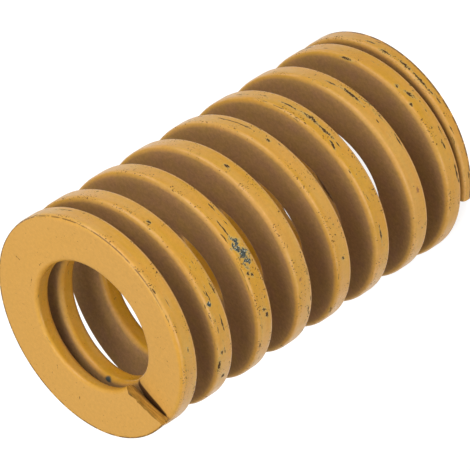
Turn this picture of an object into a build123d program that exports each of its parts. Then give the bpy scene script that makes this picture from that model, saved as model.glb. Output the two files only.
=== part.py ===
from build123d import *
import os
from math import cos, radians, sin

# A die spring of rectangular wire, wound right-handed, with closed ends ground flat.
# It stands on its lower ground end: the origin is the centre of that end, +Z runs along
# the axis, and the lower wire tip starts on +X. All lengths are in millimetres.

outer_diameter = 39.6  # runs inside a 40 mm hole
inner_diameter = 22.6  # slides over a 22 mm guide rod
free_length = 70.0
wire_height = 3.8  # along the axis
corner_radius = 0.9  # rounding of the wire's four corners
mouth_chamfer = 0.6  # breaks the bore's edge where the ends are ground
turns = 8.92  # from one wire tip to the other
tip_height = 1.7  # what grinding leaves of the wire at each tip
tip_clearance = 0.2  # between a tip and the turn it closes onto

closed_turns = 0.4  # wound at the low end pitch, counted from each tip
opening_turns = 1.75  # from here on the pitch is the full one
points_per_turn = 48
envelope_turn = 200  # degrees, keeps the walls' seams away from both tips

outer_radius = outer_diameter / 2
inner_radius = inner_diameter / 2
middle_radius = (outer_radius + inner_radius) / 2
wire_width = outer_radius - inner_radius
wall_allowance = 0.03  # the wire is wound this much too wide, then turned to its walls
rise = free_length - 2 * tip_height + wire_height  # of the wire's centre, tip to tip


def opening_sum(turn):
    """How many turns of full opening have been wound in, from a tip up to this turn."""
    span = opening_turns - closed_turns
    reach = min(max((turn - closed_turns) / span, 0.0), 1.0)
    beyond = max(turn - opening_turns, 0.0)
    return span * (reach**3 - reach**4 / 2) + beyond


def pitches():
    """The end pitch and the full pitch, from the free length and the closed tips."""
    first = opening_sum(1.0)
    half = opening_sum(turns / 2)
    # end * 1 + (full - end) * first = wire_height + tip_clearance
    # end * turns / 2 + (full - end) * half = rise / 2
    step = (rise / 2 - (wire_height + tip_clearance) * turns / 2) / (half - first * turns / 2)
    end = wire_height + tip_clearance - step * first
    return end, end + step


end_pitch, full_pitch = pitches()


def climb(turn):
    """Height gained by the wire's centre from a tip to this turn, in one half."""
    return end_pitch * turn + (full_pitch - end_pitch) * opening_sum(turn)


def centre_height(turn):
    start = tip_height - wire_height / 2
    if turn <= turns / 2:
        return start + climb(turn)
    return start + rise - climb(turns - turn)


def helix(radius):
    """The wire's path at this radius, with its pitch closing at both ends."""
    count = round(turns * points_per_turn)
    points = []
    for step in range(count + 1):
        turn = turns * step / count
        angle = radians(360 * turn)
        points.append((radius * cos(angle), radius * sin(angle), centre_height(turn)))
    return Edge.make_spline([Vector(*point) for point in points])


def wire_section():
    """The rounded rectangle of the wire, in the plane of the axis at the lower tip."""
    plane = Plane(
        origin=(middle_radius, 0, centre_height(0)), x_dir=(1, 0, 0), z_dir=(0, 1, 0)
    )
    return plane * RectangleRounded(
        wire_width + 2 * wall_allowance, wire_height, corner_radius
    )


def wound_wire():
    path = helix(middle_radius)
    guide = helix(inner_radius)
    return sweep(wire_section(), path=path, binormal=guide, clean=False)


def ground_envelope():
    """The tube between the walls, as long as the ground spring, with broken bore edges."""
    seated = (Align.CENTER, Align.CENTER, Align.MIN)
    tube = Cylinder(outer_radius, free_length, align=seated)
    tube -= Cylinder(inner_radius, free_length, align=seated)
    circles = tube.edges().filter_by(GeomType.CIRCLE)
    mouths = [edge for edge in circles if edge.radius < middle_radius]
    tube = chamfer(mouths, mouth_chamfer)
    return Rot(0, 0, envelope_turn) * tube


def build_spring():
    return wound_wire() & ground_envelope()


spring = build_spring()
os.makedirs("parts", exist_ok=True)
export_step(spring, "parts/spring.step")
print("end pitch", round(end_pitch, 3), "full pitch", round(full_pitch, 3))
print("solids", len(spring.solids()), "volume", round(spring.volume, 1))
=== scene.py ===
import bpy
from math import pi, radians, cos, sin
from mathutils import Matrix, Quaternion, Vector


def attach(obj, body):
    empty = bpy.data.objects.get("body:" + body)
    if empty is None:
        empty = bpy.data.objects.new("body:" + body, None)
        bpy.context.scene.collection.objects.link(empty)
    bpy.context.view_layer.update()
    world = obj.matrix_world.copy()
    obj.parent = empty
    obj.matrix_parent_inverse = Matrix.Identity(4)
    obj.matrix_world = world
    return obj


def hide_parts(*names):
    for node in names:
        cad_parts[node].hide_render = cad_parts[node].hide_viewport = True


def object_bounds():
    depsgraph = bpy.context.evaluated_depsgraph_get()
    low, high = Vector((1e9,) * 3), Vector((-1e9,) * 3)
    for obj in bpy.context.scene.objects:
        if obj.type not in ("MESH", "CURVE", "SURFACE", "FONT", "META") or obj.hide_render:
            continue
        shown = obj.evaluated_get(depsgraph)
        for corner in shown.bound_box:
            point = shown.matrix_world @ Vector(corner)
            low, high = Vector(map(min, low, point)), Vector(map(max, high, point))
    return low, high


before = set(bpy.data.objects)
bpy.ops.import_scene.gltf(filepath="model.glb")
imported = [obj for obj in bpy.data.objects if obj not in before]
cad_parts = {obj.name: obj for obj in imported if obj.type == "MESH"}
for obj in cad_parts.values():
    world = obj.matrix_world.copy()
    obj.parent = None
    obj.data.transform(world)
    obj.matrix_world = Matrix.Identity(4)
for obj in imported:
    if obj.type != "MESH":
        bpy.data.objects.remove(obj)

cadLow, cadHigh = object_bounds()
scene = bpy.context.scene
scene.view_settings.view_transform = "Standard"
outerRadius = (cadHigh.x - cadLow.x) / 2
freeLength = cadHigh.z
print("frame loaded, spring", round(outerRadius * 2000, 1), "x", round(freeLength * 1000, 1), "mm")


def feed(tree, socket, value):
    # a socket is linked, anything else is written in as it is
    if isinstance(value, bpy.types.NodeSocket):
        tree.links.new(value, socket)
    elif value is not None:
        socket.default_value = value


def addNode(tree, kind, inputs=None, **settings):
    # the settings come first, because they can change which inputs there are
    node = tree.nodes.new(kind)
    for name, value in settings.items():
        setattr(node, name, value)
    for name, value in (inputs or {}).items():
        feed(tree, node.inputs[name], value)
    return node


def calc(tree, operation, a, b=None, c=None, clamp=False):
    inputs = {0: a, 1: b, 2: c}
    return addNode(tree, "ShaderNodeMath", inputs, operation=operation, use_clamp=clamp).outputs[0]


def remap(tree, value, fromLow, fromHigh, toLow=0.0, toHigh=1.0, shape="LINEAR"):
    inputs = {0: value, 1: fromLow, 2: fromHigh, 3: toLow, 4: toHigh}
    return addNode(tree, "ShaderNodeMapRange", inputs, interpolation_type=shape, clamp=True).outputs[0]


def pick(tree, share, low, high):
    # low where share is 0, high where it is 1
    return addNode(tree, "ShaderNodeMix", {0: share, 2: low, 3: high}, data_type="FLOAT").outputs[0]


def joinXyz(tree, x, y, z):
    return addNode(tree, "ShaderNodeCombineXYZ", {0: x, 1: y, 2: z}).outputs[0]


def splitXyz(tree, vector):
    return addNode(tree, "ShaderNodeSeparateXYZ", {0: vector}).outputs


def product(tree, *values):
    total = values[0]
    for value in values[1:]:
        total = calc(tree, "MULTIPLY", total, value)
    return total


def most(tree, *values):
    total = values[0]
    for value in values[1:]:
        total = calc(tree, "MAXIMUM", total, value)
    return total


def newSocket(tree, name, direction, kind, value=None):
    socket = tree.interface.new_socket(name=name, in_out=direction, socket_type="NodeSocket" + kind)
    if value is not None:
        socket.default_value = value


def linear(red, green, blue):
    # a colour written as it is seen, 0 to 255
    def channel(v):
        v = v / 255
        return v / 12.92 if v <= 0.04045 else ((v + 0.055) / 1.055) ** 2.4
    return (channel(red), channel(green), channel(blue), 1.0)


springSizes = {
    "Outer Radius": outerRadius,
    "Inner Radius": 0.0113,
    "Free Length": freeLength,
    "Wire Height": 0.0038,
    "Corner Radius": 0.0009,
    "Mouth Radius": 0.0007,  # the bore's edge where the ends are ground
    "Turns": 8.92,
    "Tip Height": 0.0017,
    "Closed Turns": 0.4,
    "Opening Turns": 1.75,
    "Tip Rag": 0.0009,  # how far the sheared tips run in and out
    "Tip Skew": 0.42,  # radians round the axis for each outer radius across, at the upper tip
    "Foot Skew": 0.17,  # the same at the lower tip
    "Skew Turns": 0.06,  # the skew has faded out this far from the tip
    "Flank Fall": 0.0006,  # how much lower the upper flank is at the bore
    "Coil Sag": 0.0004,  # the free coils sit a little low on one side
    "Sag Side": radians(230),
    "Sag From": 0.8,  # turns from a tip where the sag begins
    "Sag Full": 1.8,  # and where all of it is there
}
tipClearance = 0.0002  # between each tip and the turn that it closes onto
springMesh = {
    "cornerSteps": 6,  # faces round a rounded corner
    "flankSteps": 7,  # faces from a corner to the middle of the flank
    "stationsPerTurn": 120,
    "tipGrain": 900.0,  # noise scale of the ragged tips
    "tipStation": 0.001,  # turns, less than one station, so that only the tip itself is ragged
    "raggedDepth": 0.3,  # of the wire's height, over which the rag dies away
    "raggedFoot": 0.15,  # what is left of it below that
    "coverTurns": (0.985, 1.015),  # turns from a tip, past which its own first turn covers the flank
    "weldGap": 0.000002,
    "crispAngle": 0.5,  # an edge that folds by more than this isn't shaded smooth
}
pointsPerCorner = springMesh["cornerSteps"] + 1 + springMesh["flankSteps"]


def openingSumAt(turn):
    span = springSizes["Opening Turns"] - springSizes["Closed Turns"]
    reach = min(max((turn - springSizes["Closed Turns"]) / span, 0.0), 1.0)
    return span * (reach ** 3 - reach ** 4 / 2) + max(turn - springSizes["Opening Turns"], 0.0)


def addPitches():
    # the two pitches that give the free length and let each tip close onto the next turn
    size = springSizes
    rise = size["Free Length"] - 2 * size["Tip Height"] + size["Wire Height"]
    closed = size["Wire Height"] + tipClearance
    first, half = openingSumAt(1.0), openingSumAt(size["Turns"] / 2)
    step = (rise / 2 - closed * size["Turns"] / 2) / (half - first * size["Turns"] / 2)
    size["End Pitch"] = closed - step * first
    size["Full Pitch"] = size["End Pitch"] + step


def openingSumGroup():
    # the sum of openingSumAt as nodes: how much opening has been wound in, from a tip up to this turn
    tree = bpy.data.node_groups.new("openingSum", "GeometryNodeTree")
    for name in ("Turn", "Closed Turns", "Opening Turns"):
        newSocket(tree, name, "INPUT", "Float")
    newSocket(tree, "Sum", "OUTPUT", "Float")
    given = tree.nodes.new("NodeGroupInput").outputs
    span = calc(tree, "SUBTRACT", given["Opening Turns"], given["Closed Turns"])
    past = calc(tree, "SUBTRACT", given["Turn"], given["Closed Turns"])
    reach = calc(tree, "DIVIDE", past, span, clamp=True)
    cube = calc(tree, "POWER", reach, 3.0)
    fourth = calc(tree, "POWER", reach, 4.0)
    curve = calc(tree, "MULTIPLY_ADD", fourth, -0.5, cube)
    beyond = calc(tree, "MAXIMUM", calc(tree, "SUBTRACT", given["Turn"], given["Opening Turns"]), 0.0)
    addNode(tree, "NodeGroupOutput", {"Sum": calc(tree, "MULTIPLY_ADD", curve, span, beyond)})
    return tree


def wireCentreHeight(tree, given, turn, turnsFromTop):
    # the same climb is counted from both tips, so the spring reads alike from either end
    nearTip = calc(tree, "MINIMUM", turn, turnsFromTop)
    opening = addNode(tree, "GeometryNodeGroup", node_tree=openingSumGroup())
    feed(tree, opening.inputs["Turn"], nearTip)
    for name in ("Closed Turns", "Opening Turns"):
        feed(tree, opening.inputs[name], given[name])
    step = calc(tree, "SUBTRACT", given["Full Pitch"], given["End Pitch"])
    opened = calc(tree, "MULTIPLY", step, opening.outputs["Sum"])
    climb = calc(tree, "MULTIPLY_ADD", given["End Pitch"], nearTip, opened)
    start = calc(tree, "MULTIPLY_ADD", given["Wire Height"], -0.5, given["Tip Height"])
    low = calc(tree, "ADD", start, climb)
    high = calc(tree, "SUBTRACT", given["Free Length"], low)
    return pick(tree, calc(tree, "GREATER_THAN", turn, turnsFromTop), low, high)


def storeMark(tree, geometry, name, value, kind="FLOAT"):
    inputs = {"Geometry": geometry, "Name": name, "Value": value}
    return addNode(tree, "GeometryNodeStoreNamedAttribute", inputs, data_type=kind).outputs[0]


def readMark(tree, name):
    node = addNode(tree, "GeometryNodeInputNamedAttribute", {"Name": name}, data_type="FLOAT")
    return node.outputs["Attribute"]


def straightBar(tree, given):
    # its length counts the turns, its rim counts the section's points
    end = joinXyz(tree, given["Turns"], 0.0, 0.0)
    line = addNode(tree, "GeometryNodeCurvePrimitiveLine", {"End": end})
    cut = addNode(tree, "GeometryNodeResampleCurve", {"Curve": line.outputs[0], "Count": given["Stations"]})
    along = tree.nodes.new("GeometryNodeSplineParameter").outputs["Factor"]
    spine = storeMark(tree, cut.outputs[0], "turn", calc(tree, "MULTIPLY", along, given["Turns"]))
    inputs = {"Resolution": 4 * pointsPerCorner, "Radius": 0.1}  # any radius does, only the count is used
    rim = addNode(tree, "GeometryNodeCurvePrimitiveCircle", inputs)
    index = tree.nodes.new("GeometryNodeInputIndex").outputs[0]
    section = storeMark(tree, rim.outputs[0], "rimPoint", index)
    inputs = {"Curve": spine, "Profile Curve": section, "Fill Caps": True}
    return addNode(tree, "GeometryNodeCurveToMesh", inputs).outputs[0]


def rimPlaces(tree, rimPoint):
    # the corners count round the section: outer low, outer high, inner high, inner low
    perCorner, cornerSteps = float(pointsPerCorner), float(springMesh["cornerSteps"])
    corner = calc(tree, "FLOOR", calc(tree, "DIVIDE", calc(tree, "ADD", rimPoint, 0.25), perCorner))
    count = calc(tree, "SUBTRACT", rimPoint, calc(tree, "MULTIPLY", corner, perCorner))
    odd = calc(tree, "FLOORED_MODULO", corner, 2.0)
    fromWall = pick(tree, odd, calc(tree, "SUBTRACT", perCorner - 1.0, count), count)
    arcShare = calc(tree, "DIVIDE", fromWall, cornerSteps, clamp=True)
    pastArc = calc(tree, "MAXIMUM", calc(tree, "SUBTRACT", fromWall, cornerSteps), 0.0)
    flankShare = calc(tree, "DIVIDE", pastArc, springMesh["flankSteps"] + 0.5)
    isInner = calc(tree, "GREATER_THAN", corner, 1.5)
    isTop = calc(tree, "LESS_THAN", calc(tree, "ABSOLUTE", calc(tree, "SUBTRACT", corner, 1.5)), 1.0)
    return arcShare, flankShare, isInner, isTop


def groundSection(tree, given, centre, middle, arcShare, flankShare, isInner, isTop):
    # a point's radius, and its depth under the ground plane that its flank looks towards
    depth = pick(tree, isTop, centre, calc(tree, "SUBTRACT", given["Free Length"], centre))
    cornerDepth = calc(tree, "MULTIPLY_ADD", given["Wire Height"], -0.5, depth)
    cornerDepth = calc(tree, "ADD", cornerDepth, given["Corner Radius"])
    mouth = calc(tree, "MAXIMUM", given["Mouth Radius"], cornerDepth)
    mouth = calc(tree, "MINIMUM", mouth, given["Corner Radius"])
    rounding = pick(tree, isInner, given["Corner Radius"], mouth)
    cutShare = calc(tree, "DIVIDE", cornerDepth, given["Corner Radius"], clamp=True)
    fullArc = pick(tree, isInner, calc(tree, "ARCSINE", cutShare), pi / 2)
    angle = calc(tree, "MULTIPLY", arcShare, fullArc)
    pointDepth = pick(tree, isInner, cornerDepth, calc(tree, "MAXIMUM", cornerDepth, rounding))
    rise = calc(tree, "MULTIPLY", calc(tree, "SINE", angle), rounding)
    pointDepth = calc(tree, "MAXIMUM", calc(tree, "SUBTRACT", pointDepth, rise), 0.0)
    inward = calc(tree, "SUBTRACT", rounding, calc(tree, "MULTIPLY", calc(tree, "COSINE", angle), rounding))
    wall = pick(tree, isInner, given["Outer Radius"], given["Inner Radius"])
    towardMiddle = pick(tree, isInner, -1.0, 1.0)
    radius = pick(tree, flankShare, calc(tree, "MULTIPLY_ADD", inward, towardMiddle, wall), middle)

    # the upper flank falls a little towards the bore, except where the grinding has taken that away
    wallGap = calc(tree, "SUBTRACT", given["Outer Radius"], given["Inner Radius"])
    inShare = calc(tree, "DIVIDE", calc(tree, "SUBTRACT", given["Outer Radius"], radius), wallGap)
    groundOff = calc(tree, "MAXIMUM", calc(tree, "SUBTRACT", given["Corner Radius"], cornerDepth), 0.0)
    fall = calc(tree, "SUBTRACT", product(tree, given["Flank Fall"], inShare, isTop), groundOff)
    return radius, calc(tree, "ADD", pointDepth, calc(tree, "MAXIMUM", fall, 0.0))


def coilSag(tree, given, turn, turnsFromTop):
    sagTurn = calc(tree, "MULTIPLY_ADD", turn, 2 * pi, calc(tree, "MULTIPLY", given["Sag Side"], -1.0))
    sagShare = calc(tree, "MULTIPLY_ADD", calc(tree, "COSINE", sagTurn), 0.5, 0.5)
    nearTip = calc(tree, "MINIMUM", turn, turnsFromTop)
    freeCoil = remap(tree, nearTip, given["Sag From"], given["Sag Full"], shape="SMOOTHSTEP")
    return product(tree, given["Coil Sag"], sagShare, freeCoil)


def tipRag(tree, given, turn, radius, height, pointDepth, facedTurns):
    # the two sheared tips are a little ragged, in metres round the axis
    grain = addNode(tree, "ShaderNodeTexNoise", {
        "Vector": joinXyz(tree, radius, height, 0.0), "Scale": springMesh["tipGrain"], "Detail": 3.0})
    ragged = calc(tree, "SUBTRACT", grain.outputs[0], 0.5)
    ragged = calc(tree, "MULTIPLY", ragged, calc(tree, "MULTIPLY", given["Tip Rag"], 3.0))
    lastTurn = calc(tree, "SUBTRACT", given["Turns"], springMesh["tipStation"])
    atBottom = calc(tree, "LESS_THAN", turn, springMesh["tipStation"])
    atTip = calc(tree, "MAXIMUM", calc(tree, "GREATER_THAN", turn, lastTurn), atBottom)
    # only the edge on the ground end is broken, the foot of the cut stays straight
    depthShare = calc(tree, "DIVIDE", pointDepth, given["Wire Height"])
    edgeSide = remap(tree, depthShare, 0.0, springMesh["raggedDepth"], 1.0, springMesh["raggedFoot"])
    farEnd = calc(tree, "GREATER_THAN", facedTurns, calc(tree, "MULTIPLY", given["Turns"], 0.5))
    return product(tree, ragged, atTip, pick(tree, farEnd, edgeSide, 0.0))


def tipSkew(tree, given, turn, turnsFromTop, radius, middle):
    # the tips are sheared a little off the radius
    fromMiddle = calc(tree, "DIVIDE", calc(tree, "SUBTRACT", radius, middle), given["Outer Radius"])
    nearTop = remap(tree, turnsFromTop, 0.0, given["Skew Turns"], 1.0, 0.0, "SMOOTHSTEP")
    nearBottom = remap(tree, turn, 0.0, given["Skew Turns"], 1.0, 0.0, "SMOOTHSTEP")
    skew = calc(tree, "MULTIPLY", nearBottom, given["Foot Skew"])
    return calc(tree, "MULTIPLY", calc(tree, "MULTIPLY_ADD", nearTop, given["Tip Skew"], skew), fromMiddle)


def windWireTree():
    tree = bpy.data.node_groups.new("dieSpringWire", "GeometryNodeTree")
    tree.is_modifier = True
    newSocket(tree, "Geometry", "OUTPUT", "Geometry")
    for name, value in springSizes.items():
        newSocket(tree, name, "INPUT", "Float", value)
    newSocket(tree, "Stations", "INPUT", "Int")
    newSocket(tree, "Paint", "INPUT", "Material")
    given = tree.nodes.new("NodeGroupInput").outputs

    # a straight bar is made first, and each of its points is then wound round the axis
    bar = straightBar(tree, given)
    turn, rimPoint = readMark(tree, "turn"), readMark(tree, "rimPoint")
    turnsFromTop = calc(tree, "SUBTRACT", given["Turns"], turn)
    centre = wireCentreHeight(tree, given, turn, turnsFromTop)
    middle = calc(tree, "MULTIPLY", calc(tree, "ADD", given["Outer Radius"], given["Inner Radius"]), 0.5)
    arcShare, flankShare, isInner, isTop = rimPlaces(tree, rimPoint)
    radius, pointDepth = groundSection(tree, given, centre, middle, arcShare, flankShare, isInner, isTop)
    height = pick(tree, isTop, pointDepth, calc(tree, "SUBTRACT", given["Free Length"], pointDepth))
    facedTurns = pick(tree, isTop, turn, turnsFromTop)  # from the tip that this flank looks towards
    rag = tipRag(tree, given, turn, radius, height, pointDepth, facedTurns)
    skew = tipSkew(tree, given, turn, turnsFromTop, radius, middle)
    azimuth = calc(tree, "MULTIPLY", turn, 2 * pi)
    azimuth = calc(tree, "ADD", azimuth, calc(tree, "DIVIDE", rag, radius))
    azimuth = calc(tree, "ADD", azimuth, skew)
    x = calc(tree, "MULTIPLY", calc(tree, "COSINE", azimuth), radius)
    y = calc(tree, "MULTIPLY", calc(tree, "SINE", azimuth), radius)
    z = calc(tree, "SUBTRACT", height, coilSag(tree, given, turn, turnsFromTop))

    # what the paint reads: place along, across and up the section, flank and end face masks
    above = calc(tree, "SUBTRACT", height, centre)
    across = calc(tree, "SUBTRACT", radius, middle)
    length = calc(tree, "MULTIPLY", turn, calc(tree, "MULTIPLY", given["Outer Radius"], 2 * pi))
    steep = calc(tree, "POWER", arcShare, 2.0)
    covered = remap(tree, facedTurns, *springMesh["coverTurns"])
    bare = calc(tree, "SUBTRACT", 1.0, covered)
    bar = storeMark(tree, bar, "wirePlace", joinXyz(tree, length, across, above), "FLOAT_VECTOR")
    bar = storeMark(tree, bar, "flank", calc(tree, "MULTIPLY", steep, covered))
    bar = storeMark(tree, bar, "endFace", calc(tree, "MULTIPLY", steep, bare))

    wound = addNode(tree, "GeometryNodeSetPosition", {"Geometry": bar, "Position": joinXyz(tree, x, y, z)})
    weld = addNode(tree, "GeometryNodeMergeByDistance", {
        "Geometry": wound.outputs[0], "Distance": springMesh["weldGap"]})
    # winding the bar turns its faces inwards
    outward = addNode(tree, "GeometryNodeFlipFaces", {"Mesh": weld.outputs[0]})
    smooth = addNode(tree, "GeometryNodeSetShadeSmooth", {"Geometry": outward.outputs[0]}, domain="FACE")
    fold = tree.nodes.new("GeometryNodeInputMeshEdgeAngle").outputs["Unsigned Angle"]
    crisp = addNode(tree, "GeometryNodeSetShadeSmooth", {
        "Geometry": smooth.outputs[0], "Shade Smooth": False,
        "Selection": calc(tree, "GREATER_THAN", fold, springMesh["crispAngle"])}, domain="EDGE")
    real = addNode(tree, "GeometryNodeRealizeInstances", {"Geometry": crisp.outputs[0]})
    inputs = {"Geometry": real.outputs[0], "Material": given["Paint"]}
    painted = addNode(tree, "GeometryNodeSetMaterial", inputs)
    addNode(tree, "NodeGroupOutput", {"Geometry": painted.outputs[0]})
    return tree


def windSpring(paint):
    addPitches()
    tree = windWireTree()
    holder = bpy.data.objects.new("windingHolder", bpy.data.meshes.new("windingHolder"))
    scene.collection.objects.link(holder)
    winding = holder.modifiers.new("winding", "NODES")
    winding.node_group = tree
    stations = round(springSizes["Turns"] * springMesh["stationsPerTurn"]) + 1
    values = {**springSizes, "Stations": stations, "Paint": paint}
    for item in tree.interface.items_tree:
        if item.in_out == "INPUT":
            winding[item.identifier] = values[item.name]
    normals = holder.modifiers.new("flatNormals", "WEIGHTED_NORMAL")
    normals.keep_sharp = True
    evaluated = holder.evaluated_get(bpy.context.evaluated_depsgraph_get())
    mesh = bpy.data.meshes.new_from_object(evaluated)
    bpy.data.objects.remove(holder)
    mesh.name = "paintedSpring"
    piece = bpy.data.objects.new("paintedSpring", mesh)
    scene.collection.objects.link(piece)
    return piece


paintColours = {
    "ochre": linear(205, 150, 24),
    "paleOchre": linear(211, 160, 70),
    "warmOchre": linear(214, 146, 52),
    "groundOchreSheen": linear(210, 158, 78),
    "cornerHighlightPeach": linear(231, 180, 114),
    "thinPaintShaded": linear(187, 143, 90),
    "thinPaintShadedDark": linear(155, 118, 74),
    "thinOliveShaded": linear(163, 132, 72),
    "thinPlumShaded": linear(157, 118, 94),
    "chipEdgeHighlight": linear(194, 168, 98),
    "bareSteel": linear(64, 72, 68),
    "steelGlint": linear(190, 192, 170),
    "darkChip": linear(76, 48, 14),
    "edgeDarkLine": linear(104, 70, 28),
    "cutFace": linear(196, 146, 62),
    "cutFaceShadedDark": linear(158, 114, 44),
    "creviceShadow": linear(74, 46, 18),
    "rust": linear(134, 76, 46),
}
paintLook = {
    # how much of each tone is laid over the coat
    "warmShare": 0.4,
    "cornerHighlightShare": 0.7,
    "groundSheenShare": 0.9,
    "thinShadedShare": 0.95,
    "patchShare": 0.45,
    "litGapMouthShare": 0.12,
    "edgeHighlightShare": 0.8,
    "mottleRange": (0.92, 1.06),
    # mm outwards from the wire's middle: where the wear of each wall begins and where it is full
    "outerWall": (3.1, 3.9),
    "innerWall": (-2.9, -3.5),
    "litGapMouth": (2.0, 3.6),  # and where the flank is painted paler towards the gap's mouth, painted light there and painted shade deeper in
    # radians round the outer corner, between which a pale painted highlight lies, partly a thinner coat there
    "cornerHighlightFrom": (0.15, 0.45),
    "cornerHighlightTo": (0.85, 0.6),
    # noise scales: broad drifts, warm bands, the corner's painted highlight, mottle, olive and plum patches
    "driftScale": 300.0,
    "bandScale": 700.0,
    "cornerHighlightScale": 1100.0,
    "mottleScale": 1700.0,
    "patchScale": 330.0,
    "drawnOut": 0.16,  # length along the wire counts this much in patterns that run with it
    # surface
    "glossRoughness": (0.26, 0.4),
    "thinRoughness": 0.7,
    "groundRoughness": 0.5,
    "bareRoughness": 0.75,
    "glossScale": 420.0,
    "specular": 0.32,
    "peelScale": 2400.0,
    "peelHeight": 0.35,
    "chipDepth": 0.8,
    "bumpStrength": 0.4,
    "bumpDistance": 0.00006,
}
chipKinds = {
    # scale and threshold of the chips, scale and threshold of the places where they gather
    "chips": (1800.0, 0.585, 170.0, 0.45),
    "specks": (3400.0, 0.6, 260.0, 0.42),
    "streaks": (1700.0, 0.585, 190.0, 0.44),
    "faceDots": (2300.0, 0.65, 160.0, 0.4),
}
chipSoftness = {
    "gather": 0.14,  # how softly a gathering place ends
    "scattered": 0.22,  # what chips lose where they don't gather, or where Amount is 0
    "rim": 0.05,
    "edge": 0.035,
}
wearLook = {
    "chipAmount": 0.7,
    "streakAmount": 0.85,
    "speckAmount": 0.85,
    "turnOverAmount": 0.25,  # more specks where the outer wall turns over
    "dotAmount": 0.95,
    "innerExposed": 0.4,  # the bore's wall is chipped less than the outer one
    "groundSpared": 0.8,
    "looseEdgeHighlight": 0.4,
    "rustShare": 0.7,
    "scratchShare": 0.75,
    "dotShare": 0.6,
    "drawnGrainScale": 2000.0,
    "fineGrainScale": 3600.0,
    "fineGrainShare": 0.45,
    "blotchScale": 1150.0,
    "glintScale": 3000.0,  # painted glints, bright points in the bare steel
}
wornLevels = {
    # where the grain begins to beat the fading outline of a worn place, and where it has won
    "dark": (0.38, 0.44),
    "darkRim": (0.3, 0.4),
    "grey": (0.38, 0.43),
    "greyRim": (0.28, 0.38),
    "rusty": (0.42, 0.52),
    "face": (0.38, 0.5),
}
wornPlaces = {
    # turn from the lower tip, height above the wire's middle, half length, half height, slope; mm
    "grey": [
        (6.141, 0.1, 1.9, 1.2, 0.0),
        (6.127, -0.2, 2.1, 1.1, 0.0),
        (6.112, 0.55, 1.0, 0.5, 0.0),
        (7.097, 0.9, 0.6, 0.5, 0.0),
    ],
    "dark": [
        (6.103, 0.95, 0.5, 0.4, 0.0),
        (6.099, 0.2, 0.6, 0.35, 0.0),
        (3.266, 0.02, 2.4, 0.25, 0.0),
        (3.234, -0.2, 3.0, 0.42, 0.0),
        (3.206, -0.05, 2.4, 0.5, 0.0),
        (3.185, 0.8, 1.2, 0.4, -0.3),
        (2.262, 0.05, 1.6, 0.25, 0.0),
        (2.232, -0.35, 3.2, 0.38, 0.0),
        (2.208, -1.3, 1.6, 0.3, 0.25),
        (1.287, 1.6, 1.6, 0.25, 0.0),
        (1.206, 0.8, 0.8, 0.5, 0.0),
        (1.188, 0.15, 1.6, 0.5, 0.3),
        (1.175, 1.2, 0.5, 0.45, 0.0),
        (0.286, 0.7, 1.4, 0.35, 0.0),
        (0.258, 1.1, 2.0, 0.4, 0.0),
        (0.225, 0.9, 2.0, 0.45, 0.0),
        (0.198, 1.03, 2.2, 0.4, 0.0),
        (0.174, 0.9, 1.0, 0.3, 0.0),
        (5.238, 0.2, 0.8, 0.45, 0.0),
        (4.238, -0.2, 0.7, 0.55, 0.0),
        (7.229, 0.45, 0.6, 0.4, 0.0),
        (7.022, 0.85, 0.8, 0.5, 0.0),
        (7.0, 1.4, 2.4, 0.35, 0.0),
        (6.974, 0.2, 0.9, 0.5, 0.0),
        (4.045, 0.05, 0.7, 0.4, 0.0),
        (3.043, 0.3, 2.8, 0.28, 0.0),
        (6.046, 0.0, 0.6, 0.5, 0.0),
        (6.036, -0.4, 0.6, 0.5, 0.0),
        (8.059, -0.1, 0.8, 0.3, 0.0),
    ],
    "rusty": [
        (5.054, 0.65, 0.8, 0.6, 0.0),
        (3.106, -0.35, 1.0, 0.5, 0.0),
        (4.106, 0.1, 0.7, 0.5, 0.0),
        (2.071, -0.4, 1.1, 0.5, 0.0),
    ],
    # on the upper end face the second value is the distance across from the wire's middle
    "face": [
        (8.4656, 0.9, 0.16, 1.5, 0.0),
        (8.43, -3.0, 1.2, 0.16, 0.0),
        (8.49, -2.9, 1.6, 0.14, 0.0),
        (8.352, 1.7, 0.3, 0.25, 0.0),
        (8.688, 0.25, 0.25, 0.25, 0.0),
        (8.754, 0.0, 0.22, 0.4, 0.0),
        (8.69, -1.9, 0.9, 0.16, 0.9),
    ],
    # inside the bore, a patch painted dark steel grey
    "bore": [(7.791, 1.7, 1.7, 0.95, 0.0)],
}


def noise(tree, vector, scale, detail=3.0, roughness=0.5):
    inputs = {"Vector": vector, "Scale": scale, "Detail": detail, "Roughness": roughness}
    return addNode(tree, "ShaderNodeTexNoise", inputs).outputs["Fac"]


def blendColour(tree, share, low, high):
    return addNode(tree, "ShaderNodeMix", {0: share, 6: low, 7: high}, data_type="RGBA").outputs[2]


def scaleColour(tree, colour, factor):
    inputs = {0: colour, "Scale": factor}
    return addNode(tree, "ShaderNodeVectorMath", inputs, operation="SCALE").outputs[0]


def attribute(tree, name, output="Fac"):
    return addNode(tree, "ShaderNodeAttribute", attribute_name=name).outputs[output]


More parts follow.
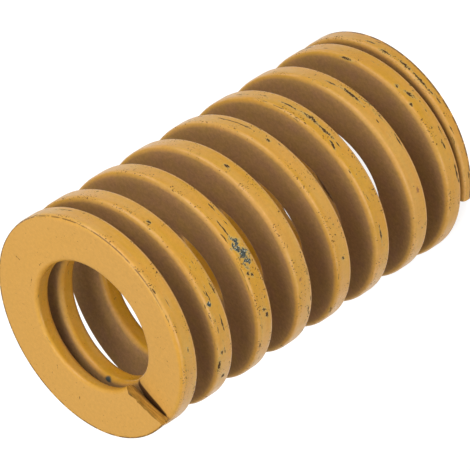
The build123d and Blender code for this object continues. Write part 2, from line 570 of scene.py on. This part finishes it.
def chipGroup():
    # ragged chips of one size that gather where a coarser pattern is high
    tree = bpy.data.node_groups.new("paintChips", "ShaderNodeTree")
    newSocket(tree, "Vector", "INPUT", "Vector")
    for name in ("Scale", "Threshold", "Gather Scale", "Gather", "Amount"):
        newSocket(tree, name, "INPUT", "Float")
    newSocket(tree, "Mask", "OUTPUT", "Float")
    newSocket(tree, "Rim", "OUTPUT", "Float")
    given = tree.nodes.new("NodeGroupInput").outputs
    fine = noise(tree, given["Vector"], given["Scale"], 3.0, 0.6)
    coarse = noise(tree, given["Vector"], given["Gather Scale"], 2.0, 0.5)
    gatherHigh = calc(tree, "ADD", given["Gather"], chipSoftness["gather"])
    gather = calc(tree, "SUBTRACT", remap(tree, coarse, given["Gather"], gatherHigh), 1.0)
    level = calc(tree, "ADD", fine, calc(tree, "MULTIPLY", gather, chipSoftness["scattered"]))
    missing = calc(tree, "SUBTRACT", given["Amount"], 1.0)
    level = calc(tree, "ADD", level, calc(tree, "MULTIPLY", missing, chipSoftness["scattered"]))
    rimLow = calc(tree, "SUBTRACT", given["Threshold"], chipSoftness["rim"])
    maskHigh = calc(tree, "ADD", given["Threshold"], chipSoftness["edge"])
    addNode(tree, "NodeGroupOutput", {
        "Mask": remap(tree, level, given["Threshold"], maskHigh),
        "Rim": remap(tree, level, rimLow, given["Threshold"])})
    return tree


def chips(tree, group, vector, kind, amount):
    # the mask of the chips, and that of the rim round them, where a pale highlight is painted
    node = addNode(tree, "ShaderNodeGroup", node_tree=group)
    feed(tree, node.inputs["Vector"], vector)
    for name, value in zip(("Scale", "Threshold", "Gather Scale", "Gather"), chipKinds[kind]):
        node.inputs[name].default_value = value
    feed(tree, node.inputs["Amount"], amount)
    return node.outputs["Mask"], node.outputs["Rim"]


wornInputs = ("Turn", "Above", "At Turn", "At Height", "Half Length", "Half Height", "Slope")


def wornPlaceGroup():
    # one rubbed place on the wire, an ellipse soft at its outline, to be broken up by the grain
    tree = bpy.data.node_groups.new("wornPlace", "ShaderNodeTree")
    for name in wornInputs:
        newSocket(tree, name, "INPUT", "Float")
    newSocket(tree, "Mask", "OUTPUT", "Float")
    given = tree.nodes.new("NodeGroupInput").outputs
    along = calc(tree, "SUBTRACT", given["Turn"], given["At Turn"])
    along = calc(tree, "MULTIPLY", along, 2000 * pi * outerRadius)
    up = calc(tree, "SUBTRACT", given["Above"], given["At Height"])
    up = calc(tree, "SUBTRACT", up, calc(tree, "MULTIPLY", along, given["Slope"]))
    reach = calc(tree, "POWER", calc(tree, "DIVIDE", along, given["Half Length"]), 2.0)
    side = calc(tree, "POWER", calc(tree, "DIVIDE", up, given["Half Height"]), 2.0)
    away = calc(tree, "SQRT", calc(tree, "ADD", reach, side))
    addNode(tree, "NodeGroupOutput", {"Mask": remap(tree, away, 1.3, 0.2)})
    return tree


def placeWear(tree, group, turn, above, places):
    masks = []
    for place in places:
        node = addNode(tree, "ShaderNodeGroup", node_tree=group)
        for name, value in zip(wornInputs, (turn, above) + place):
            feed(tree, node.inputs[name], value)
        masks.append(node.outputs["Mask"])
    return most(tree, *masks)


def breakUp(tree, mask, grain, levels):
    # a worn place shows through where its grain beats the fading outline
    level = calc(tree, "MULTIPLY_ADD", calc(tree, "SUBTRACT", mask, 1.0), 0.3, grain)
    within = remap(tree, mask, 0.02, 0.12)
    return calc(tree, "MULTIPLY", remap(tree, level, *wornLevels[levels]), within)


def readWire(tree):
    # where each point lies on the wire; across is counted outwards from the wire's middle
    length, across, above = splitXyz(tree, attribute(tree, "wirePlace", "Vector"))
    turn = attribute(tree, "turn")
    acrossMm = calc(tree, "MULTIPLY", across, 1000.0)
    aboveMm = calc(tree, "MULTIPLY", above, 1000.0)
    fromTop = calc(tree, "SUBTRACT", springSizes["Turns"], turn)
    upperHalf = calc(tree, "GREATER_THAN", turn, springSizes["Turns"] / 2)
    cornerAcross = 1000 * ((outerRadius - springSizes["Inner Radius"]) / 2 - springSizes["Corner Radius"])
    cornerAbove = 1000 * (springSizes["Wire Height"] / 2 - springSizes["Corner Radius"])
    cornerRun = calc(tree, "SUBTRACT", acrossMm, cornerAcross)
    cornerRise = calc(tree, "SUBTRACT", calc(tree, "ABSOLUTE", aboveMm), cornerAbove)
    return {
        "turn": turn,
        "nearTip": calc(tree, "MINIMUM", turn, fromTop),
        "upperHalf": upperHalf,
        "across": across,
        "above": above,
        "acrossMm": acrossMm,
        "aboveMm": aboveMm,
        "inwardMm": calc(tree, "MULTIPLY", aboveMm, pick(tree, upperHalf, 1.0, -1.0)),  # to mid length
        "cornerTurn": calc(tree, "ARCTAN2", cornerRise, cornerRun),  # radians round the outer corner
        "outside": remap(tree, acrossMm, *paintLook["outerWall"]),
        "inside": remap(tree, acrossMm, *paintLook["innerWall"]),
        "flank": attribute(tree, "flank"),
        "endFace": attribute(tree, "endFace"),
        "solid": tree.nodes.new("ShaderNodeTexCoord").outputs["Object"],
        "drawn": joinXyz(tree, calc(tree, "MULTIPLY", length, paintLook["drawnOut"]), across, above),
    }


def paintCoat(tree, wire):
    # broad drifts of tone, ground ends painted paler as a painted sheen, a painted highlight on the outer
    # corner, and between the coils a thin coat that also carries painted shade
    # noise stays near 0.5, so each pattern is stretched from there to a mask of 0 to 1
    look, drawn, solid = paintLook, wire["drawn"], wire["solid"]
    drift = remap(tree, noise(tree, drawn, look["driftScale"], 3.0, 0.6), 0.38, 0.62)
    bands = remap(tree, noise(tree, drawn, look["bandScale"], 3.0, 0.6), 0.35, 0.65)
    mottle = remap(tree, noise(tree, solid, look["mottleScale"], 4.0, 0.7), 0.3, 0.7)
    patches = remap(tree, noise(tree, solid, look["patchScale"], 3.0, 0.6), 0.32, 0.68)
    colour = blendColour(tree, drift, paintColours["ochre"], paintColours["paleOchre"])
    colour = blendColour(tree, product(tree, bands, look["warmShare"]), colour, paintColours["warmOchre"])
    # a painted highlight along the outer corner, pale peach, partly a thinner coat there
    cornerIn = remap(tree, wire["cornerTurn"], *look["cornerHighlightFrom"])
    cornerOut = remap(tree, wire["cornerTurn"], *look["cornerHighlightTo"])
    uneven = remap(tree, noise(tree, drawn, look["cornerHighlightScale"], 4.0, 0.7), 0.38, 0.62, 0.1, 1.0)
    cornerHighlight = product(tree, wire["outside"], cornerIn, cornerOut, uneven, look["cornerHighlightShare"])
    colour = blendColour(tree, cornerHighlight, colour, paintColours["cornerHighlightPeach"])
    # the ground ends painted paler, a painted sheen of the lit end faces
    groundSheen = product(tree, wire["endFace"], look["groundSheenShare"])
    colour = blendColour(tree, groundSheen, colour, paintColours["groundOchreSheen"])
    # the flanks between the coils get a thin, duller coat, also painted darker as shade of the gaps
    thinShaded = blendColour(tree, mottle, paintColours["thinPaintShadedDark"], paintColours["thinPaintShaded"])
    tone = blendColour(tree, patches, paintColours["thinOliveShaded"], paintColours["thinPlumShaded"])
    thinShaded = blendColour(tree, look["patchShare"], thinShaded, tone)
    # the flank's coat painted paler towards the outer edge: painted light at the gap's mouth, painted shade
    # deeper in
    litGapMouth = remap(tree, wire["acrossMm"], *look["litGapMouth"], 0.0, look["litGapMouthShare"])
    thinShaded = blendColour(tree, litGapMouth, thinShaded, paintColours["ochre"])
    colour = blendColour(tree, product(tree, wire["flank"], look["thinShadedShare"]), colour, thinShaded)
    return scaleColour(tree, colour, remap(tree, mottle, 0.0, 1.0, *look["mottleRange"]))


def paintWear(tree, wire):
    # loose chips and streaks where the coat is exposed, then the places that were rubbed through
    solid, drawn, outside, endFace = (wire[name] for name in ("solid", "drawn", "outside", "endFace"))
    look, chipping, wornGroup = wearLook, chipGroup(), wornPlaceGroup()
    exposed = product(tree, most(tree, outside, calc(tree, "MULTIPLY", wire["inside"], look["innerExposed"])),
                      calc(tree, "SUBTRACT", 1.0, wire["flank"]),
                      calc(tree, "SUBTRACT", 1.0, calc(tree, "MULTIPLY", endFace, look["groundSpared"])))
    upWall = calc(tree, "ABSOLUTE", wire["aboveMm"])
    turnOver = product(tree, outside, remap(tree, upWall, 0.6, 1.0), remap(tree, upWall, 1.75, 1.4))
    speckAmount = calc(tree, "MULTIPLY_ADD", turnOver, look["turnOverAmount"], look["speckAmount"])
    chipMask, chipRim = chips(tree, chipping, solid, "chips", look["chipAmount"])
    streakMask, streakRim = chips(tree, chipping, drawn, "streaks", look["streakAmount"])
    speckMask = chips(tree, chipping, solid, "specks", speckAmount)[0]
    dotMask = chips(tree, chipping, solid, "faceDots", look["dotAmount"])[0]

    fineGrain = noise(tree, solid, look["fineGrainScale"], 2.0, 0.6)
    drawnGrain = noise(tree, drawn, look["drawnGrainScale"], 4.0, 0.75)
    ragged = pick(tree, look["fineGrainShare"], drawnGrain, fineGrain)
    blotch = noise(tree, solid, look["blotchScale"], 4.0, 0.7)

    def worn(name, within, side="aboveMm"):
        mask = placeWear(tree, wornGroup, wire["turn"], wire[side], wornPlaces[name])
        return calc(tree, "MULTIPLY", mask, within)

    dark, grey, rusty = worn("dark", outside), worn("grey", outside), worn("rusty", outside)
    loose = product(tree, most(tree, chipMask, streakMask, speckMask), exposed)
    scratches = breakUp(tree, worn("face", endFace, "acrossMm"), fineGrain, "face")
    looseRims = product(tree, most(tree, chipRim, streakRim), exposed, look["looseEdgeHighlight"])
    rims = most(tree, looseRims, breakUp(tree, dark, ragged, "darkRim"),
                breakUp(tree, grey, blotch, "greyRim"))
    return {
        # a pale painted highlight round the edges of chips and worn places
        "edgeHighlight": product(tree, rims, paintLook["edgeHighlightShare"]),
        "rust": product(tree, breakUp(tree, rusty, blotch, "rusty"), look["rustShare"]),
        "steel": breakUp(tree, grey, blotch, "grey"),
        "boreGreyPatch": remap(tree, worn("bore", wire["inside"]), 0.3, 0.6),
        "dark": most(tree, loose, breakUp(tree, dark, ragged, "dark"),
                     product(tree, scratches, look["scratchShare"]),
                     product(tree, dotMask, endFace, look["dotShare"])),
    }


tipLook = {
    "cutTurns": (0.0006, 0.0002),  # the cut face lies this close to its tip
    "shearScale": 420.0,
    "shearStretch": 7.0,
    "creviceShadowSpan": (1.0, 3.6),  # mm outwards from the wire's middle, over which the painted crevice shadow narrows
    "creviceShadowWidths": (0.75, 0.25),  # mm
    "creviceShadowEdge": (0.1, -0.25),
    "creviceShadowTurns": (0.9, 0.95),  # turns from a tip, past which the crevice shadow is painted
    "offCorner": (3.5, 3.0),  # mm outwards, so that the rounded corner stays clear
    "shadedFootHeights": (1.3, 1.75),  # mm from the wire's middle, the foot of the cut, painted dark as shade
    "shadedFootShare": 0.7,
}


def paintTips(tree, wire, colour):
    # the sheared tips, streaked across in a darker tone that is partly painted shade, and the painted shadow
    # in the crevice that each leaves beside the next turn
    across, acrossMm, nearTip = (wire[name] for name in ("across", "acrossMm", "nearTip"))
    cutFace = remap(tree, nearTip, *tipLook["cutTurns"])
    shear = joinXyz(tree, across, calc(tree, "MULTIPLY", wire["above"], tipLook["shearStretch"]), 0.0)
    shear = remap(tree, noise(tree, shear, tipLook["shearScale"], 3.0, 0.7), 0.4, 0.6)
    # shear streaks across the cut face, their darker tone partly painted shade
    shadedCutColour = blendColour(tree, shear, paintColours["cutFaceShadedDark"], paintColours["cutFace"])
    colour = blendColour(tree, cutFace, colour, shadedCutColour)
    lean = pick(tree, wire["upperHalf"], -springSizes["Foot Skew"], springSizes["Tip Skew"])
    lean = product(tree, lean, across, 1 / (2 * pi * outerRadius))
    beside = calc(tree, "SUBTRACT", calc(tree, "SUBTRACT", 1.0, nearTip), lean)
    aroundMiddle = 1000 * pi * (outerRadius + springSizes["Inner Radius"])  # mm
    arcLength = calc(tree, "MULTIPLY", beside, calc(tree, "MULTIPLY_ADD", acrossMm, 2 * pi, aroundMiddle))
    # a painted shadow along the crevice between each tip and the next turn
    creviceShadowWidth = remap(tree, acrossMm, *tipLook["creviceShadowSpan"], *tipLook["creviceShadowWidths"])
    creviceShadow = remap(tree, calc(tree, "SUBTRACT", arcLength, creviceShadowWidth), *tipLook["creviceShadowEdge"])
    offCorner = remap(tree, acrossMm, *tipLook["offCorner"])
    lastTurn = remap(tree, nearTip, *tipLook["creviceShadowTurns"])
    creviceShadow = product(tree, creviceShadow, lastTurn, remap(tree, wire["endFace"], 0.0, 0.1), offCorner)
    # the foot of the cut face painted dark, painted shade beside the crevice
    footShade = remap(tree, wire["inwardMm"], *tipLook["shadedFootHeights"])
    cutFootShade = product(tree, cutFace, footShade, offCorner, tipLook["shadedFootShare"])
    return blendColour(tree, most(tree, creviceShadow, cutFootShade), colour, paintColours["creviceShadow"])


edgeLineLook = {
    "endDepths": (0.0004, 0.00022),  # metres under the end plane, where the line begins and is full
    "edge": (3.96, 4.08),  # mm outwards from the wire's middle
    "grainScale": 700.0,
    "cornerAt": 0.8,  # radians round the corner, and how wide the line is there
    "cornerWidth": (0.16, 0.06),
    "startTurns": (0.54, 0.6),
    "endTurns": (0.82, 0.76),
    "share": 0.85,
}


def paintEdgeDarkLine(tree, wire, colour):
    # a dark line along the crisp edge of the ground ends
    height = splitXyz(tree, wire["solid"])[2]
    fromMiddle = calc(tree, "ABSOLUTE", calc(tree, "SUBTRACT", height, freeLength / 2))
    atEnd = remap(tree, fromMiddle, *(freeLength / 2 - depth for depth in edgeLineLook["endDepths"]))
    edgeGrain = remap(tree, noise(tree, wire["solid"], edgeLineLook["grainScale"], 3.0, 0.7), 0.38, 0.5)
    edgeLine = product(tree, atEnd, remap(tree, wire["acrossMm"], *edgeLineLook["edge"]))
    # it runs on for a while past the ground part, along the rounded corner
    besideLine = calc(tree, "ABSOLUTE", calc(tree, "SUBTRACT", wire["cornerTurn"], edgeLineLook["cornerAt"]))
    started = remap(tree, wire["nearTip"], *edgeLineLook["startTurns"])
    unended = remap(tree, wire["nearTip"], *edgeLineLook["endTurns"])
    onGroundSide = calc(tree, "LESS_THAN", wire["inwardMm"], 0.0)
    cornerLine = product(tree, remap(tree, besideLine, *edgeLineLook["cornerWidth"]), started, unended,
                         onGroundSide, wire["outside"])
    edgeLine = product(tree, most(tree, edgeLine, cornerLine), edgeGrain, edgeLineLook["share"])
    return blendColour(tree, edgeLine, colour, paintColours["edgeDarkLine"])


def springPaint():
    material = bpy.data.materials.new("ochrePaint")
    material.use_nodes = True
    tree = material.node_tree
    surface = tree.nodes["Principled BSDF"]
    look, wire = paintLook, readWire(tree)
    solid, wear = wire["solid"], paintWear(tree, wire)
    colour = paintCoat(tree, wire)
    colour = paintTips(tree, wire, colour)
    colour = paintEdgeDarkLine(tree, wire, colour)
    # painted glints in the bare steel
    glints = remap(tree, noise(tree, solid, wearLook["glintScale"], 2.0), 0.6, 0.66)
    steel = blendColour(tree, glints, paintColours["bareSteel"], paintColours["steelGlint"])
    # painted highlight round chipped edges
    colour = blendColour(tree, wear["edgeHighlight"], colour, paintColours["chipEdgeHighlight"])
    colour = blendColour(tree, wear["rust"], colour, paintColours["rust"])
    colour = blendColour(tree, wear["steel"], colour, steel)
    colour = blendColour(tree, wear["boreGreyPatch"], colour, paintColours["bareSteel"])
    colour = blendColour(tree, wear["dark"], colour, paintColours["darkChip"])
    feed(tree, surface.inputs["Base Color"], colour)

    bare = most(tree, wear["dark"], wear["steel"], wear["boreGreyPatch"])
    rough = remap(tree, noise(tree, solid, look["glossScale"]), 0.3, 0.7, *look["glossRoughness"])
    rough = pick(tree, wire["flank"], rough, look["thinRoughness"])
    rough = pick(tree, calc(tree, "MULTIPLY", wire["endFace"], 0.8), rough, look["groundRoughness"])
    feed(tree, surface.inputs["Roughness"], pick(tree, bare, rough, look["bareRoughness"]))
    surface.inputs["Specular IOR Level"].default_value = look["specular"]
    peel = calc(tree, "MULTIPLY", noise(tree, solid, look["peelScale"], 2.0), look["peelHeight"])
    relief = calc(tree, "MULTIPLY_ADD", bare, -look["chipDepth"], peel)
    bump = addNode(tree, "ShaderNodeBump", {
        "Strength": look["bumpStrength"], "Distance": look["bumpDistance"], "Height": relief})
    feed(tree, surface.inputs["Normal"], bump.outputs[0])
    return material


floorLook = {
    "reach": 3.0,
    "matte": (0.75, 0.75, 0.75, 1),
    # seen directly, the floor is white with the object's shadow left faintly in it
    "faint": (0.3, 0.3, 0.3, 1),
    "glow": 0.86,
}


def layFloor():
    mesh = bpy.data.meshes.new("floor")
    reach = floorLook["reach"]
    mesh.from_pydata([(-reach, -reach, 0), (reach, -reach, 0), (reach, reach, 0), (-reach, reach, 0)],
                     [], [(0, 1, 2, 3)])
    floor = bpy.data.objects.new("floor", mesh)
    scene.collection.objects.link(floor)
    material = bpy.data.materials.new("whiteFloor")
    material.use_nodes = True
    tree = material.node_tree
    tree.nodes.remove(tree.nodes["Principled BSDF"])
    matte = addNode(tree, "ShaderNodeBsdfDiffuse", {"Color": floorLook["matte"]})
    faint = addNode(tree, "ShaderNodeBsdfDiffuse", {"Color": floorLook["faint"]})
    glow = addNode(tree, "ShaderNodeEmission", {"Strength": floorLook["glow"]})
    seen = addNode(tree, "ShaderNodeAddShader", {0: faint.outputs[0], 1: glow.outputs[0]})
    path = tree.nodes.new("ShaderNodeLightPath").outputs
    direct = most(tree, path["Is Camera Ray"], path["Is Glossy Ray"], path["Is Transmission Ray"])
    mix = addNode(tree, "ShaderNodeMixShader", {0: direct, 1: matte.outputs[0], 2: seen.outputs[0]})
    feed(tree, tree.nodes["Material Output"].inputs["Surface"], mix.outputs[0])
    mesh.materials.append(material)


roomLight = {"ambient": 0.34, "seenBackground": 1.0}
softboxes = {
    # azimuth, elevation, distance, width, height, power
    "endBox": (60, 78, 0.6, 0.35, 0.35, 1.8),
    "topBox": (112, 38, 0.6, 0.4, 0.3, 1.55),
    "sideBox": (10, 10, 0.7, 0.3, 0.5, 1.5),
}


def hangSoftbox(name, azimuth, elevation, distance, width, height, power):
    aim = Vector((0, 0, freeLength / 2))
    a, e = radians(azimuth), radians(elevation)
    toward = Vector((cos(a) * cos(e), sin(a) * cos(e), sin(e)))
    lamp = bpy.data.lights.new(name, "AREA")
    lamp.shape = "RECTANGLE"
    lamp.size, lamp.size_y = width, height
    lamp.energy = power
    box = bpy.data.objects.new(name, lamp)
    box.location = aim + toward * distance
    box.rotation_mode = "QUATERNION"
    box.rotation_quaternion = (-toward).to_track_quat("-Z", "Y")
    scene.collection.objects.link(box)


def lightRoom():
    world = bpy.data.worlds.new("paleRoom")
    scene.world = world
    world.use_nodes = True
    tree = world.node_tree
    back = tree.nodes["Background"]
    direct = tree.nodes.new("ShaderNodeLightPath").outputs["Is Camera Ray"]
    back.inputs["Color"].default_value = (1, 1, 1, 1)
    strength = pick(tree, direct, roomLight["ambient"], roomLight["seenBackground"])
    feed(tree, back.inputs["Strength"], strength)
    for name, place in softboxes.items():
        hangSoftbox(name, *place)


cameraPlace = {
    "location": (0.34886736, 0.52512006, 0.48560045),
    "turn": (0.8697694988, -0.3208431023, 0.3266648633, 0.1839858413),
    "lens": 364.4987,
    "sensor": 36.0,
    "clip": (0.05, 20.0),
}


def placeCamera():
    data = bpy.data.cameras.new("camera")
    data.lens = cameraPlace["lens"]
    data.sensor_width = cameraPlace["sensor"]
    data.clip_start, data.clip_end = cameraPlace["clip"]
    camera = bpy.data.objects.new("camera", data)
    camera.location = cameraPlace["location"]
    camera.rotation_mode = "QUATERNION"
    camera.rotation_quaternion = Quaternion(cameraPlace["turn"])
    scene.collection.objects.link(camera)
    scene.camera = camera


paint = springPaint()
print("paint mixed")
spring = windSpring(paint)
print("spring wound,", len(spring.data.polygons), "faces")
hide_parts("spring")
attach(spring, "root")
layFloor()
lightRoom()
placeCamera()
print("floor, lights and camera set")
